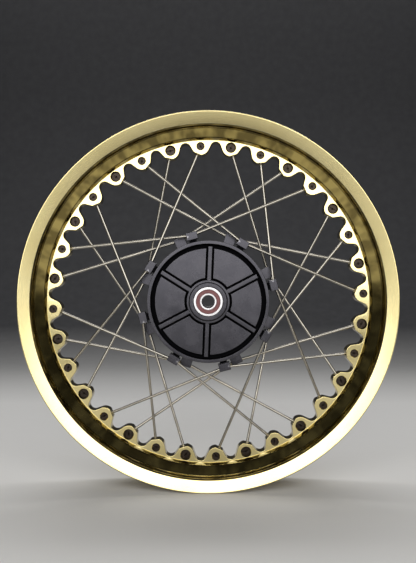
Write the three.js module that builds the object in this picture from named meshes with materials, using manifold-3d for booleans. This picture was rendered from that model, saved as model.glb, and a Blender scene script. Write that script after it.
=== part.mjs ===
// Spoked motorcycle wheel, 19 x 3.0 inch, millimetres, +Z up.
// The origin is the wheel's centre and the axle lies along Y; the plain side of the hub faces -Y.
// Angles round the wheel run clockwise from 12 o'clock, seen from -Y: a point is (r sin a, y, r cos a).
import * as THREE from "three";
import { mergeVertices } from "three/addons/utils/BufferGeometryUtils.js";
import Module from "manifold-3d";

const wasm = await Module();
wasm.setup();

const INCH = 25.4;
const DEGREE = Math.PI / 180;

// Rim section
const RIM_DIAMETER = 19 * INCH;
const RIM_WIDTH = 3.0 * INCH;
const LIP_HEIGHT = 14;
const LIP_THICKNESS = 7;
const LIP_FACE = 16.5;
const LIP_CHAMFER = 1;
const LIP_SLOPE = 3.5;
const LIP_ROOT_STEP = 1.8;
const RIM_WALL = 4;
const WELL_DEPTH = 15.8;
const WELL_HALF_WIDTH = 12;
const BEAD_SEAT_WIDTH = 14;
const BEAD_SEAT_TAPER = 1.2;
const WALL_BEND_WIDTH = 3;
const WALL_FOOT_WIDTH = 6;
const WALL_FOOT_RISE = 2.5;
const VALVE_HOLE = 8.3;
const VALVE_ANGLE = 294;
const VALVE_OFFSET = 18;

// Spoke lugs round the middle of the rim
const LUG_COUNT = 32;
const LUG_THICKNESS = 20;
const LUG_HOLE_INSET = 7.8;
const LUG_TIP_RADIUS = 12.2;
const LUG_FLAT_INSET = 1.2;
const SCALLOP_RADIUS = 7.2;
const SCALLOP_STEP = 1.9;
const NIPPLE_BORE = 13.6;
const ACCESS_HOLE = 10.5;
const ACCESS_DEPTH = 3;
const FIRST_BLOCK_ANGLE = 30.9;

// Spokes and their barrel nipples
const SPOKE_DIAMETER = 3.7;
const SPOKE_HEAD_DIAMETER = 7;
const SPOKE_HEAD_LENGTH = 3;
const SPOKE_SPAN = 5;
const NIPPLE_LENGTH = 12.5;
const NIPPLE_STAGGER = 0.8;
const PASSING_GAP = 4.3;
const SPOKE_CROSSING_RADIUS = 92.8;

// Hub
const BLOCKS_PER_SIDE = 8;
const BLOCK_OUTER_RADIUS = 97.2;
const FRONT_BLOCK_HEIGHT = 10.6;
const REAR_BLOCK_HEIGHT = 13.8;
const BLOCK_WIDTH = 15.8;
const BLOCK_LENGTH = 17;
const BLOCK_PLANE = 15;
const BLOCK_NECK_WIDTH = 10;
const BLOCK_NECK_LENGTH = 9;
const RING_RADIUS = 82.5;
const RING_LENGTH = 7;
const DRUM_RADIUS = 80;
const DRUM_INNER_RADIUS = 74.7;
const RING_WALL = 4.5;
const HUB_HALF_WIDTH = 33;
const FRONT_WEB_THICKNESS = 6;
const FRONT_WEB_RECESS = 12;
const PANEL_RECESS = 2.5;
const PANEL_COUNT = 6;
const PANEL_OUTER_RADIUS = 71.9;
const PANEL_GROOVE = 2.8;
const PANEL_RIB_WIDTH = 5.3;
const FIRST_RIB_ANGLE = 2.3;
const BOSS_RADIUS = 29.3;
const BOSS_FACE_RADIUS = 25.3;
const BOSS_PROUD = 3;
const BOSS_CHAMFER = 1;
const REAR_RIB_WIDTH = 6;
const DISC_FLANGE_THICKNESS = 9;
const DISC_FLANGE_INNER_RADIUS = 56;
const DISC_BOLT_CIRCLE = 136;
const DISC_BOLT_COUNT = 6;
const DISC_BOLT_HOLE = 6.8;

// Wheel bearings, 17 x 40 x 12, and the tube between them
const AXLE_DIAMETER = 17;
const BEARING_DIAMETER = 40;
const BEARING_WIDTH = 12;
const BEARING_RECESS = 1;
const BALL_COUNT = 8;
const BALL_DIAMETER = 6.747;
const BALL_CIRCLE = 28.5;
const INNER_RACE_SHOULDER = 24;
const INNER_RACE_END = 22;
const OUTER_RACE_SHOULDER = 33;
const CAGE_WALL = 1.4;
const CAGE_WIDTH = 4.4;
const SEAL_THICKNESS = 1.1;
const SEAL_RECESS = 0.5;
const SPACER_WALL = 3;
const SHOULDER_HEIGHT = 2.5;

// Clearances
const FIT_GAP = 0.2;
const RUNNING_GAP = 0.3;
const SPOKE_HOLE_GAP = 0.5;
const HEAD_GAP = 0.4;

// How far shapes that are joined run into each other, and how close corners are to be one corner
const JOIN_DEPTH = 1;
const WELD_DISTANCE = 1e-4;

// Facets
const RIM_FACETS = 48;
const HUB_FACETS = 30;
const BEARING_FACETS = 18;
const BORE_FACETS = 8;
const SPOKE_FACETS = 6;
const BALL_FACETS = 6;
const TIP_STEPS = 3;
const SCALLOP_STEPS = 4;
const PANEL_ARC_STEPS = 5;

// Sizes that follow from the ones above
const beadSeatRadius = RIM_DIAMETER / 2;
const lipRadius = beadSeatRadius + LIP_HEIGHT;
const lipInside = RIM_WIDTH / 2;
const lipOutside = lipInside + LIP_THICKNESS;
const wellRadius = beadSeatRadius - WELL_DEPTH;
const barrelRadius = wellRadius - RIM_WALL;
const lugHoleRadius = barrelRadius - LUG_HOLE_INSET;
const lugPitch = 360 / LUG_COUNT;
const scallopCentreRadius = barrelRadius - SCALLOP_STEP - SCALLOP_RADIUS;
const nippleRadius = NIPPLE_BORE / 2 - FIT_GAP;
const nippleCentre = LUG_THICKNESS / 2 - ACCESS_DEPTH - FIT_GAP - NIPPLE_LENGTH / 2;
const spokeSpanAngle = SPOKE_SPAN * lugPitch;
const headStagger = (SPOKE_DIAMETER + PASSING_GAP) / 2;
const blockPitch = 360 / BLOCKS_PER_SIDE;
const bossOutside = HUB_HALF_WIDTH + BOSS_PROUD;
const bearingOutside = bossOutside - BEARING_RECESS;
const bearingInside = bearingOutside - BEARING_WIDTH;
const bearingMiddle = bearingOutside - BEARING_WIDTH / 2;
const seatRadius = BEARING_DIAMETER / 2 + FIT_GAP;
const webFront = FRONT_WEB_RECESS - HUB_HALF_WIDTH;
const webBack = webFront + FRONT_WEB_THICKNESS;
const panelFace = PANEL_RECESS - HUB_HALF_WIDTH;

function metal(colour, roughness, metalness = 1) {
  return new THREE.MeshStandardMaterial({ color: colour, roughness, metalness });
}

const goldAluminium = metal(0xc9a94a, 0.3);
const blackAluminium = metal(0x1b1b1e, 0.45, 0.6);
const spokeSteel = metal(0xd8d2cc, 0.25);
const bearingSteel = metal(0xd9dbde, 0.2);
const sealRubber = metal(0x7a3f36, 0.6, 0);
const tubeAluminium = metal(0xa9abae, 0.4);

function around(angle, radius, y) {
  return new THREE.Vector3(radius * Math.sin(angle * DEGREE), y, radius * Math.cos(angle * DEGREE));
}

// A closed geometry as a solid that can be joined and cut.
function solid(geometry) {
  const bare = geometry.clone();
  bare.deleteAttribute("normal");
  bare.deleteAttribute("uv");
  const merged = mergeVertices(bare, WELD_DISTANCE);
  return new wasm.Manifold(new wasm.Mesh({
    numProp: 3,
    vertProperties: new Float32Array(merged.attributes.position.array),
    triVerts: new Uint32Array(merged.index.array),
  }));
}

function mesh(name, body, material) {
  const result = body.getMesh();
  const geometry = new THREE.BufferGeometry();
  geometry.setAttribute("position", new THREE.BufferAttribute(result.vertProperties, 3));
  geometry.setIndex(new THREE.BufferAttribute(result.triVerts, 1));
  geometry.computeVertexNormals();
  const part = new THREE.Mesh(geometry, material);
  part.name = name;
  return part;
}

// A ring turned about the axle from a closed outline of [radius, y] points.
function turned(outline, facets) {
  const points = outline.map(([radius, y]) => new THREE.Vector2(radius, y));
  if (THREE.ShapeUtils.isClockWise(points)) {
    points.reverse();
  }
  points.push(points[0].clone());
  return solid(new THREE.LatheGeometry(points, facets));
}

// The outline with its mirror image across the wheel's middle plane.
function mirrored(outline) {
  const back = outline.map(([radius, y]) => [radius, -y]);
  return outline.concat(back.reverse());
}

// A plate whose outline lies in the wheel's plane, from yLow to yHigh.
function plate(shape, yLow, yHigh, facets) {
  const options = { depth: yHigh - yLow, bevelEnabled: false, curveSegments: facets };
  const geometry = new THREE.ExtrudeGeometry(shape, options);
  geometry.rotateX(Math.PI / 2);
  geometry.translate(0, yHigh, 0);
  return solid(geometry);
}

// A round pin along Y, centred on the given point.
function crosswisePin(radius, yLow, yHigh, distance, facets) {
  const geometry = new THREE.CylinderGeometry(radius, radius, yHigh - yLow, facets);
  geometry.translate(0, (yLow + yHigh) / 2, distance);
  return solid(geometry);
}

// A round pin between two points.
function pin(radius, from, to, facets) {
  const length = from.distanceTo(to);
  const geometry = new THREE.CylinderGeometry(radius, radius, length, facets);
  const direction = to.clone().sub(from).divideScalar(length);
  const turn = new THREE.Quaternion().setFromUnitVectors(new THREE.Vector3(0, 1, 0), direction);
  geometry.applyQuaternion(turn);
  const middle = from.clone().lerp(to, 0.5);
  geometry.translate(middle.x, middle.y, middle.z);
  return solid(geometry);
}

// A block standing on the hub: width along X, length along Y, radially from low to high.
function radialBlock(width, yLow, yHigh, low, high) {
  const geometry = new THREE.BoxGeometry(width, yHigh - yLow, high - low);
  geometry.translate(0, (yLow + yHigh) / 2, (low + high) / 2);
  return solid(geometry);
}

function turnTo(body, angle) {
  return body.rotate([0, angle, 0]);
}

function joined(bodies) {
  return wasm.Manifold.union(bodies);
}

// A spoke's centre line, with its lug at 12 o'clock.
// side is -1 at the hub's front blocks and +1 at the rear ones; lean is +1 where the spoke runs clockwise.
function spokeLine(side, lean) {
  const nippleEnd = around(0, lugHoleRadius, side * (nippleCentre - lean * NIPPLE_STAGGER));
  const crossing = around(
    lean * spokeSpanAngle,
    SPOKE_CROSSING_RADIUS,
    side * (BLOCK_PLANE - lean * headStagger),
  );
  const direction = crossing.clone().sub(nippleEnd).normalize();
  const headFace = crossing.clone().addScaledVector(direction, BLOCK_WIDTH / 2 - FIT_GAP);
  const headSeat = headFace.clone().addScaledVector(direction, -SPOKE_HEAD_LENGTH);
  return { nippleEnd, crossing, direction, headFace, headSeat };
}

const spokeKinds = [
  { name: "spoke_front_leading", side: -1, lean: 1 },
  { name: "spoke_front_trailing", side: -1, lean: -1 },
  { name: "spoke_rear_leading", side: 1, lean: 1 },
  { name: "spoke_rear_trailing", side: 1, lean: -1 },
];

// Front and rear blocks take turns, one lug pitch apart.
function blockAngle(side, index) {
  const first = side < 0 ? FIRST_BLOCK_ANGLE : FIRST_BLOCK_ANGLE - lugPitch;
  return first + index * blockPitch;
}

function lugAngle(kind, index) {
  return blockAngle(kind.side, index) - kind.lean * spokeSpanAngle;
}

function rimBarrel() {
  const seatEnd = lipInside - BEAD_SEAT_WIDTH;
  const seatEndRadius = beadSeatRadius - BEAD_SEAT_TAPER;
  const lipFaceRadius = lipRadius - LIP_FACE;
  const tyreSide = [
    [wellRadius, WELL_HALF_WIDTH],
    [seatEndRadius, seatEnd],
    [beadSeatRadius, lipInside],
    [lipRadius - LIP_THICKNESS, lipInside],
    [lipRadius, lipInside + LIP_THICKNESS / 2],
    [lipRadius, lipOutside - LIP_CHAMFER],
    [lipRadius - LIP_CHAMFER, lipOutside],
  ];
  const hubSide = [
    [lipFaceRadius, lipOutside - LIP_SLOPE],
    [lipFaceRadius - LIP_ROOT_STEP, lipInside],
    [seatEndRadius - RIM_WALL, seatEnd + WALL_BEND_WIDTH],
    [barrelRadius + WALL_FOOT_RISE, WELL_HALF_WIDTH + WALL_FOOT_WIDTH],
    [barrelRadius, LUG_THICKNESS / 2],
  ];
  return turned(mirrored(tyreSide.concat(hubSide)), RIM_FACETS);
}

// The angle, at the lug's hole, between straight in to the axle and the spoke.
function spokeExitAngle(kind) {
  const { direction } = spokeLine(kind.side, kind.lean);
  return Math.atan2(direction.x, -direction.z);
}

// One pitch of the lug ring's inner edge: round the lug's tip, then round the scallop after it.
// The tip is cut flat where the spoke leaves.
function lugEdge(lug) {
  const half = (lugPitch / 2) * DEGREE;
  const scallop = new THREE.Vector2(Math.sin(half), Math.cos(half)).multiplyScalar(scallopCentreRadius);
  const towards = Math.atan2(scallop.x, lugHoleRadius - scallop.y);
  const apart = Math.hypot(scallop.x, lugHoleRadius - scallop.y);
  const tipEnd = towards - Math.acos(Math.min(1, (LUG_TIP_RADIUS + SCALLOP_RADIUS) / apart));
  const flatMiddle = spokeExitAngle(lug.kind);
  const flatHalf = Math.acos(1 - LUG_FLAT_INSET / LUG_TIP_RADIUS);
  const flat = [flatMiddle - flatHalf, flatMiddle + flatHalf];
  const round = lug.kind.lean > 0 ? [-tipEnd, flat[0]] : [flat[1], tipEnd];
  const tip = [-tipEnd, ...flat, tipEnd];
  for (let step = 1; step < TIP_STEPS; step += 1) {
    tip.push(THREE.MathUtils.lerp(round[0], round[1], step / TIP_STEPS));
  }
  tip.sort((a, b) => a - b);
  const points = tip.map((turn) => new THREE.Vector2(
    LUG_TIP_RADIUS * Math.sin(turn),
    lugHoleRadius - LUG_TIP_RADIUS * Math.cos(turn),
  ));
  for (let step = 0; step <= SCALLOP_STEPS; step += 1) {
    const turn = THREE.MathUtils.lerp(-tipEnd, 2 * half + tipEnd, step / SCALLOP_STEPS);
    points.push(new THREE.Vector2(
      scallop.x + SCALLOP_RADIUS * Math.sin(turn),
      scallop.y + SCALLOP_RADIUS * Math.cos(turn),
    ));
  }
  const origin = new THREE.Vector2();
  return points.map((point) => point.rotateAround(origin, -lug.angle * DEGREE));
}

function lugsInOrder() {
  const lugs = [];
  for (const kind of spokeKinds) {
    for (let index = 0; index < BLOCKS_PER_SIDE; index += 1) {
      lugs.push({ kind, angle: THREE.MathUtils.euclideanModulo(lugAngle(kind, index), 360) });
    }
  }
  return lugs.sort((a, b) => a.angle - b.angle);
}

function lugRing(lugs) {
  const shape = new THREE.Shape();
  shape.absarc(0, 0, barrelRadius + RIM_WALL / 2, 0, 2 * Math.PI);
  shape.holes.push(new THREE.Path(lugs.flatMap(lugEdge)));
  return plate(shape, -LUG_THICKNESS / 2, LUG_THICKNESS / 2, RIM_FACETS);
}

// What is drilled out of one lug, standing at 12 o'clock: the nipple's bore, the access hole that
// leaves a shoulder towards the spoke's own side of the hub, and the spoke's hole through the tip.
function lugDrilling(kind) {
  const { nippleEnd, direction } = spokeLine(kind.side, kind.lean);
  const face = kind.side * LUG_THICKNESS / 2;
  const shoulder = kind.side * (LUG_THICKNESS / 2 - ACCESS_DEPTH);
  const outwards = kind.side * JOIN_DEPTH;
  const bore = [shoulder, -face - outwards].sort((a, b) => a - b);
  const access = [shoulder - outwards, face + outwards].sort((a, b) => a - b);
  const tipExit = nippleEnd.clone().addScaledVector(direction, 2 * LUG_TIP_RADIUS);
  return joined([
    crosswisePin(NIPPLE_BORE / 2, bore[0], bore[1], lugHoleRadius, BORE_FACETS),
    crosswisePin(ACCESS_HOLE / 2, access[0], access[1], lugHoleRadius, BORE_FACETS),
    pin(SPOKE_DIAMETER / 2 + SPOKE_HOLE_GAP, nippleEnd, tipExit, SPOKE_FACETS),
  ]);
}

// The valve hole goes through the well beside the lugs, on the rear side.
function valveHole() {
  const low = around(VALVE_ANGLE, barrelRadius - RIM_WALL, VALVE_OFFSET);
  const high = around(VALVE_ANGLE, beadSeatRadius, VALVE_OFFSET);
  return pin(VALVE_HOLE / 2, low, high, BORE_FACETS);
}

function rim() {
  const lugs = lugsInOrder();
  const drillings = lugs.map((lug) => turnTo(lugDrilling(lug.kind), lug.angle));
  const blank = joined([rimBarrel(), lugRing(lugs)]);
  return blank.subtract(joined([...drillings, valveHole()]));
}

// A spoke with its barrel nipple, its lug at 12 o'clock.
function spoke(kind) {
  const line = spokeLine(kind.side, kind.lean);
  const middle = kind.side * nippleCentre;
  const insideHead = line.headSeat.clone().lerp(line.headFace, 0.5);
  return joined([
    crosswisePin(nippleRadius, middle - NIPPLE_LENGTH / 2, middle + NIPPLE_LENGTH / 2,
      lugHoleRadius, BORE_FACETS),
    pin(SPOKE_DIAMETER / 2, line.nippleEnd, insideHead, SPOKE_FACETS),
    pin(SPOKE_HEAD_DIAMETER / 2, line.headSeat, line.headFace, SPOKE_FACETS),
  ]);
}

function hubBody() {
  const ringInner = RING_RADIUS - RING_WALL;
  const front = -HUB_HALF_WIDTH;
  const flangeFront = HUB_HALF_WIDTH - DISC_FLANGE_THICKNESS;
  const shoulderRadius = seatRadius - SHOULDER_HEIGHT;
  return turned([
    [shoulderRadius, -bearingInside + FIT_GAP],
    [seatRadius, -bearingInside + FIT_GAP],
    [seatRadius, -bossOutside],
    [BOSS_FACE_RADIUS, -bossOutside],
    [BOSS_FACE_RADIUS + BOSS_CHAMFER, front],
    [BOSS_RADIUS, front],
    [BOSS_RADIUS, webFront],
    [ringInner, webFront],
    [ringInner, front],
    [RING_RADIUS, front],
    [RING_RADIUS, front + RING_LENGTH],
    [DRUM_RADIUS, front + RING_LENGTH],
    [DRUM_RADIUS, HUB_HALF_WIDTH],
    [DISC_FLANGE_INNER_RADIUS, HUB_HALF_WIDTH],
    [DISC_FLANGE_INNER_RADIUS, flangeFront],
    [DRUM_INNER_RADIUS, flangeFront],
    [DRUM_INNER_RADIUS, webBack],
    [BOSS_RADIUS, webBack],
    [BOSS_FACE_RADIUS, bossOutside],
    [seatRadius, bossOutside],
    [seatRadius, bearingInside - FIT_GAP],
    [shoulderRadius, bearingInside - FIT_GAP],
  ], HUB_FACETS);
}

// The straight ribs of the front face stop short of the ring.
function frontRibs() {
  const ribs = [];
  for (let index = 0; index < PANEL_COUNT; index += 1) {
    const rib = radialBlock(PANEL_RIB_WIDTH, panelFace, webFront + JOIN_DEPTH, BOSS_FACE_RADIUS,
      DRUM_INNER_RADIUS);
    ribs.push(turnTo(rib, FIRST_RIB_ANGLE + index * 360 / PANEL_COUNT));
  }
  return ribs;
}

// The flat panels between the ribs, each with a groove all round it.
function frontPanels() {
  const panels = [];
  const aside = PANEL_RIB_WIDTH / 2 + PANEL_GROOVE;
  const half = 180 / PANEL_COUNT * DEGREE;
  const inner = BOSS_RADIUS + PANEL_GROOVE;
  const outerTurn = half - Math.asin(aside / PANEL_OUTER_RADIUS);
  const innerTurn = half - Math.asin(aside / inner);
  const shape = new THREE.Shape();
  const upwards = Math.PI / 2;
  shape.absarc(0, 0, PANEL_OUTER_RADIUS, upwards - outerTurn, upwards + outerTurn, false);
  shape.absarc(0, 0, inner, upwards + innerTurn, upwards - innerTurn, true);
  const panel = plate(shape, panelFace, webFront + JOIN_DEPTH, PANEL_ARC_STEPS);
  for (let index = 0; index < PANEL_COUNT; index += 1) {
    panels.push(turnTo(panel, FIRST_RIB_ANGLE + (index + 0.5) * 360 / PANEL_COUNT));
  }
  return panels;
}

function rearRibs() {
  const ribs = [];
  const flangeFront = HUB_HALF_WIDTH - DISC_FLANGE_THICKNESS;
  for (let index = 0; index < PANEL_COUNT; index += 1) {
    const rib = radialBlock(REAR_RIB_WIDTH, webBack - JOIN_DEPTH, flangeFront + JOIN_DEPTH,
      BOSS_FACE_RADIUS, DRUM_RADIUS - JOIN_DEPTH);
    ribs.push(turnTo(rib, FIRST_RIB_ANGLE + index * 360 / PANEL_COUNT));
  }
  return ribs;
}

// A block at 12 o'clock on its neck.
function spokeBlock(side) {
  const middle = side * BLOCK_PLANE;
  const bottom = BLOCK_OUTER_RADIUS - (side < 0 ? FRONT_BLOCK_HEIGHT : REAR_BLOCK_HEIGHT);
  return joined([
    radialBlock(BLOCK_WIDTH, middle - BLOCK_LENGTH / 2, middle + BLOCK_LENGTH / 2,
      bottom, BLOCK_OUTER_RADIUS),
    radialBlock(BLOCK_NECK_WIDTH, middle - BLOCK_NECK_LENGTH / 2, middle + BLOCK_NECK_LENGTH / 2,
      DRUM_INNER_RADIUS + JOIN_DEPTH, bottom + JOIN_DEPTH),
  ]);
}

// The hole for one spoke and its head, the spoke's lug at 12 o'clock.
function spokeSeat(kind) {
  const line = spokeLine(kind.side, kind.lean);
  const before = line.crossing.clone().addScaledVector(line.direction, -BLOCK_WIDTH);
  const under = line.headSeat.clone().addScaledVector(line.direction, -FIT_GAP);
  const beyond = line.headFace.clone().addScaledVector(line.direction, BLOCK_WIDTH);
  return joined([
    pin(SPOKE_DIAMETER / 2 + SPOKE_HOLE_GAP, before, line.headSeat, SPOKE_FACETS),
    pin(SPOKE_HEAD_DIAMETER / 2 + HEAD_GAP, under, beyond, SPOKE_FACETS),
  ]);
}

function discBoltHoles() {
  const holes = [];
  const flangeFront = HUB_HALF_WIDTH - DISC_FLANGE_THICKNESS;
  for (let index = 0; index < DISC_BOLT_COUNT; index += 1) {
    const hole = crosswisePin(DISC_BOLT_HOLE / 2, flangeFront - JOIN_DEPTH,
      HUB_HALF_WIDTH + JOIN_DEPTH, DISC_BOLT_CIRCLE / 2, BORE_FACETS);
    holes.push(turnTo(hole, FIRST_RIB_ANGLE + (index + 0.5) * 360 / DISC_BOLT_COUNT));
  }
  return holes;
}

function hub() {
  const blocks = [];
  const seats = [];
  for (const side of [-1, 1]) {
    for (let index = 0; index < BLOCKS_PER_SIDE; index += 1) {
      blocks.push(turnTo(spokeBlock(side), blockAngle(side, index)));
    }
  }
  for (const kind of spokeKinds) {
    for (let index = 0; index < BLOCKS_PER_SIDE; index += 1) {
      seats.push(turnTo(spokeSeat(kind), lugAngle(kind, index)));
    }
  }
  const blank = joined([hubBody(), ...frontRibs(), ...frontPanels(), ...rearRibs(), ...blocks]);
  return blank.subtract(joined([...seats, ...discBoltHoles()]));
}

// Ball grooves are square-cut, deep enough for the balls' faceted path to run clear.
// The ring is stepped down at its ends, where the seals' lips run.
function innerRace(middle) {
  const half = BEARING_WIDTH / 2;
  const stepHalf = half - SEAL_RECESS - SEAL_THICKNESS - FIT_GAP;
  const grooveHalf = BALL_DIAMETER / 2;
  const grooveRadius = (BALL_CIRCLE - BALL_DIAMETER) / 2 - RUNNING_GAP;
  return turned([
    [AXLE_DIAMETER / 2, middle - half],
    [INNER_RACE_END / 2, middle - half],
    [INNER_RACE_END / 2, middle - stepHalf],
    [INNER_RACE_SHOULDER / 2, middle - stepHalf],
    [INNER_RACE_SHOULDER / 2, middle - grooveHalf],
    [grooveRadius, middle - grooveHalf / 2],
    [grooveRadius, middle + grooveHalf / 2],
    [INNER_RACE_SHOULDER / 2, middle + grooveHalf],
    [INNER_RACE_SHOULDER / 2, middle + stepHalf],
    [INNER_RACE_END / 2, middle + stepHalf],
    [INNER_RACE_END / 2, middle + half],
    [AXLE_DIAMETER / 2, middle + half],
  ], BEARING_FACETS);
}

function outerRace(middle) {
  const half = BEARING_WIDTH / 2;
  const grooveHalf = BALL_DIAMETER / 2;
  const facetLoss = 1 / Math.cos(Math.PI / BEARING_FACETS);
  const grooveRadius = ((BALL_CIRCLE + BALL_DIAMETER) / 2 + RUNNING_GAP) * facetLoss;
  return turned([
    [OUTER_RACE_SHOULDER / 2, middle - half],
    [BEARING_DIAMETER / 2, middle - half],
    [BEARING_DIAMETER / 2, middle + half],
    [OUTER_RACE_SHOULDER / 2, middle + half],
    [OUTER_RACE_SHOULDER / 2, middle + grooveHalf],
    [grooveRadius, middle + grooveHalf / 2],
    [grooveRadius, middle - grooveHalf / 2],
    [OUTER_RACE_SHOULDER / 2, middle - grooveHalf],
  ], BEARING_FACETS);
}

// The balls in their cage, which goes round between the races.
function ballCage(middle) {
  const ring = turned([
    [BALL_CIRCLE / 2 - CAGE_WALL / 2, middle - CAGE_WIDTH / 2],
    [BALL_CIRCLE / 2 + CAGE_WALL / 2, middle - CAGE_WIDTH / 2],
    [BALL_CIRCLE / 2 + CAGE_WALL / 2, middle + CAGE_WIDTH / 2],
    [BALL_CIRCLE / 2 - CAGE_WALL / 2, middle + CAGE_WIDTH / 2],
  ], BEARING_FACETS);
  const balls = [];
  for (let index = 0; index < BALL_COUNT; index += 1) {
    const ball = new THREE.SphereGeometry(BALL_DIAMETER / 2, BALL_FACETS, BALL_FACETS / 2);
    const place = around(index * 360 / BALL_COUNT, BALL_CIRCLE / 2, middle);
    ball.translate(place.x, place.y, place.z);
    balls.push(solid(ball));
  }
  return joined([ring, ...balls]);
}

// A rubber seal held in the outer race, its lip just clear of the inner one. outwards is -1 or +1.
function seal(middle, outwards) {
  const outside = middle + outwards * (BEARING_WIDTH / 2 - SEAL_RECESS);
  const inside = outside - outwards * SEAL_THICKNESS;
  const facetLoss = 1 / Math.cos(Math.PI / BEARING_FACETS);
  const lip = (INNER_RACE_END / 2 + RUNNING_GAP) * facetLoss;
  const edge = OUTER_RACE_SHOULDER / 2 - FIT_GAP;
  return turned([[lip, outside], [edge, outside], [edge, inside], [lip, inside]], BEARING_FACETS);
}

function spacerTube() {
  const end = bearingInside - FIT_GAP;
  const inner = AXLE_DIAMETER / 2;
  const outer = inner + SPACER_WALL;
  return turned([[inner, -end], [outer, -end], [outer, end], [inner, end]], BEARING_FACETS);
}

const wheel = new THREE.Group();

function addWheel() {
  wheel.add(mesh("rim", rim(), goldAluminium));
  wheel.add(mesh("hub", hub(), blackAluminium));
  for (const kind of spokeKinds) {
    const body = spoke(kind);
    for (let index = 0; index < BLOCKS_PER_SIDE; index += 1) {
      const part = mesh(`${kind.name}_${index + 1}`, body, spokeSteel);
      part.rotation.y = lugAngle(kind, index) * DEGREE;
      wheel.add(part);
    }
  }
}

function addBearing(end, side) {
  const middle = side * bearingMiddle;
  wheel.add(mesh(`${end}_bearing_inner_race`, innerRace(middle), bearingSteel));
  wheel.add(mesh(`${end}_bearing_outer_race`, outerRace(middle), bearingSteel));
  wheel.add(mesh(`${end}_bearing_balls`, ballCage(middle), bearingSteel));
  wheel.add(mesh(`${end}_bearing_outside_seal`, seal(middle, side), sealRubber));
  wheel.add(mesh(`${end}_bearing_inside_seal`, seal(middle, -side), sealRubber));
}

addWheel();
addBearing("front", -1);
addBearing("rear", 1);
wheel.add(mesh("bearing_spacer_tube", spacerTube(), tubeAluminium));

export default wheel;
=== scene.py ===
"""Looks of a spoked motorcycle wheel around its CAD nodes.

Shapes are in millimetres until finished() scales them; the scene is in metres. The axle lies along Y.
Angles run clockwise from 12 o'clock, seen from -Y: a point is (r sin a, y, r cos a).
"""

import math

import bmesh
import bpy
from mathutils import Matrix, Vector


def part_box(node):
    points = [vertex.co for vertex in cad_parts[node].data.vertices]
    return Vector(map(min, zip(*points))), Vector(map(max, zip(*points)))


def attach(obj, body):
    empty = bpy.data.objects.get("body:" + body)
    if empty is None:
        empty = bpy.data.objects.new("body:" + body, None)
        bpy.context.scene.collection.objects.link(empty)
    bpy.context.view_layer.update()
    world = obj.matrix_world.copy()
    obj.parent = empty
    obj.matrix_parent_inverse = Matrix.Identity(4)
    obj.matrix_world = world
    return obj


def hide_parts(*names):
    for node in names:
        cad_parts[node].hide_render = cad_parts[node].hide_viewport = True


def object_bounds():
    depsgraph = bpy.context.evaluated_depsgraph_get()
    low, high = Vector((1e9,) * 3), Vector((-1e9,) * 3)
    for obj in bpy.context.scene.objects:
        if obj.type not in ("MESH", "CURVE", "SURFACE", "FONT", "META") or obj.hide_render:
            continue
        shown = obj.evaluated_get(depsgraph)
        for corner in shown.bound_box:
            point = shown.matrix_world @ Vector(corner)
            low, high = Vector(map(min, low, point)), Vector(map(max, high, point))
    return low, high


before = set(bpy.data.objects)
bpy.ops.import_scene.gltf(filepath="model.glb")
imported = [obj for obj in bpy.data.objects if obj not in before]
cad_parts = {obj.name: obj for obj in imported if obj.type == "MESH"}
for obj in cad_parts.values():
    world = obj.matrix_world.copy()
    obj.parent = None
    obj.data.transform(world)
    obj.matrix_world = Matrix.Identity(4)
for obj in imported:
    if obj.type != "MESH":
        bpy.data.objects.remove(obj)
cad_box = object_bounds()

MM = 0.001
SHARP_ANGLE = math.radians(32)
FLAT_ANGLE = math.radians(0.02)

# Steps round a full turn
RIM_STEPS = 384
HUB_STEPS = 180
BEARING_STEPS = 96
PIN_STEPS = 32

# Rim, outwards from the hub and sideways from the middle plane
LIP_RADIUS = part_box("rim")[1].z / MM
LIP_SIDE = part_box("rim")[1].y / MM
LIP_INSIDE = 38.1
LIP_THICKNESS = 7
LIP_FACE = 16.5
LIP_SLOPE = 3.5
LIP_ROOT_STEP = 1.8
RIM_WALL = 4
WALL_BEND_WIDTH = 3
WALL_FOOT_WIDTH = 6
WALL_FOOT_RISE = 2.5
BEAD_SEAT_WIDTH = 14
BEAD_SEAT_TAPER = 1.2
BEAD_SEAT_RADIUS = 241.3
HUMP_HEIGHT = 0.7
WELL_RADIUS = 225.5
BARREL_RADIUS = 221.5
WELL_HALF_WIDTH = 12
VALVE_ANGLE = 294
VALVE_OFFSET = 18
VALVE_RADIUS = 4.15

# Spoke lugs
LUG_HALF_THICKNESS = 10
LUG_HOLE_RADIUS = 213.7
LUG_TIP_RADIUS = 12.2
LUG_FLAT_INSET = 1.2
LUG_EDGE = 0.7
SCALLOP_RADIUS = 7.2
SCALLOP_CENTRE = 212.4
BORE_RADIUS = 6.8
ACCESS_RADIUS = 5.25
ACCESS_DEPTH = 3
BORE_EDGE = 0.6
SPOKE_HOLE_RADIUS = 2.35
TIP_STEPS = 20
SCALLOP_STEPS = 14

# Spokes and nipples
SPOKE_FACETS_IN_CAD = 6
SPOKE_RADIUS = 1.85
SPOKE_WAIST = 0.12
HEAD_RADIUS = 3.5
HEAD_LENGTH = 3
NIPPLE_RADIUS = 6.6
NIPPLE_HALF = 6.25
NIPPLE_SLOT = 1.7
NIPPLE_SLOT_DEPTH = 1.6
NIPPLE_FIRST_TURN = 40
NIPPLE_NEXT_TURN = 67

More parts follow.
